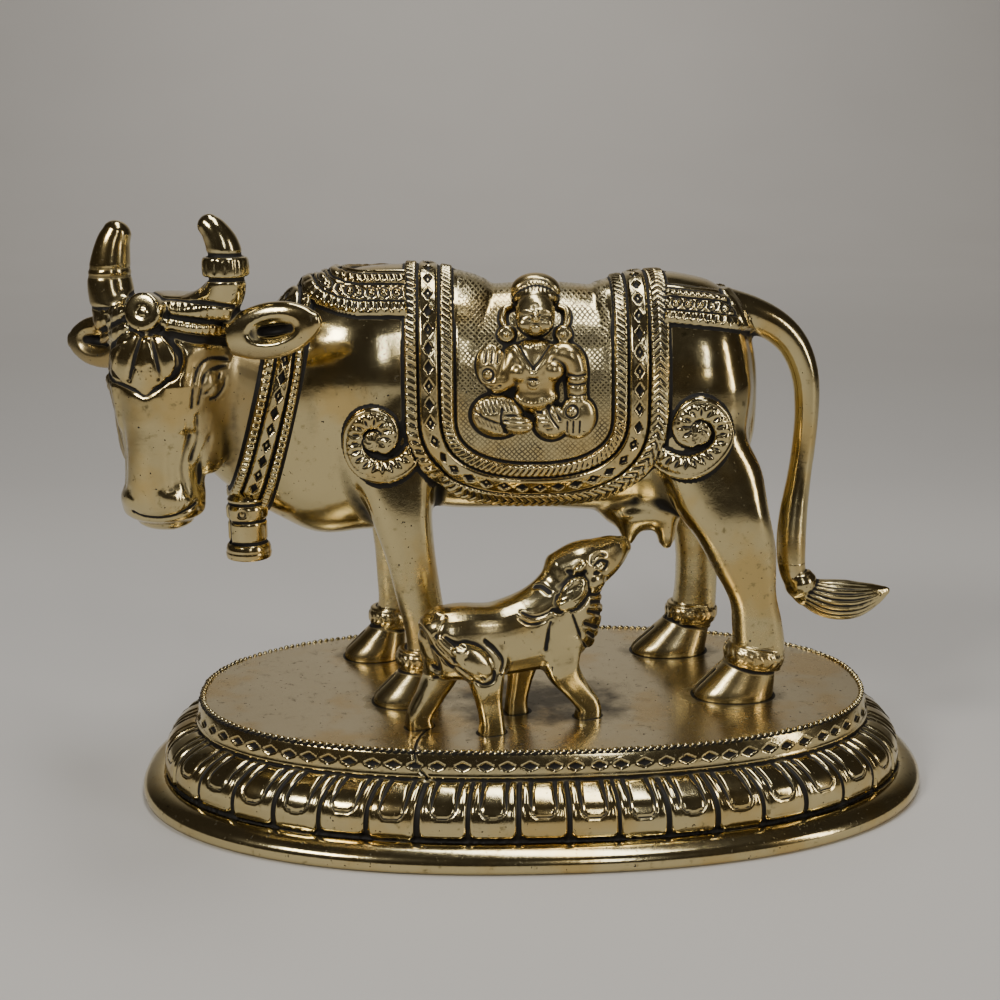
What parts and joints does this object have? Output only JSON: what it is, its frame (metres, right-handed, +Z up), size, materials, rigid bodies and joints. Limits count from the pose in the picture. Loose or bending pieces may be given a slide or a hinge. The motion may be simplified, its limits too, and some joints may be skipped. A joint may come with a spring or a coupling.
{
  "type": "cow and calf statue",
  "caption": "Cast brass cow in a festival cloth with its calf reaching for the udder, on an oval lotus-moulded plinth.",
  "frame": {"origin": "centre of the plinth's flat underside", "axes": "+Z up, +X along the cow's back towards its tail, the cow faces -X, and the figured flank with the calf faces -Y"},
  "size_m": [0.1918, 0.11, 0.1295],
  "materials": {
    "plinth_brass": "satin top, polished foot, blackened moulding",
    "cow_brass": "polished high spots with black patina in the chased lines",
    "calf_brass": "polished high spots with brown patina in the recesses"
  },
  "bodies": {
    "root": {"plinth": "plinth_brass", "cow": "cow_brass", "calf": "calf_brass"}
  },
  "joints": []
}
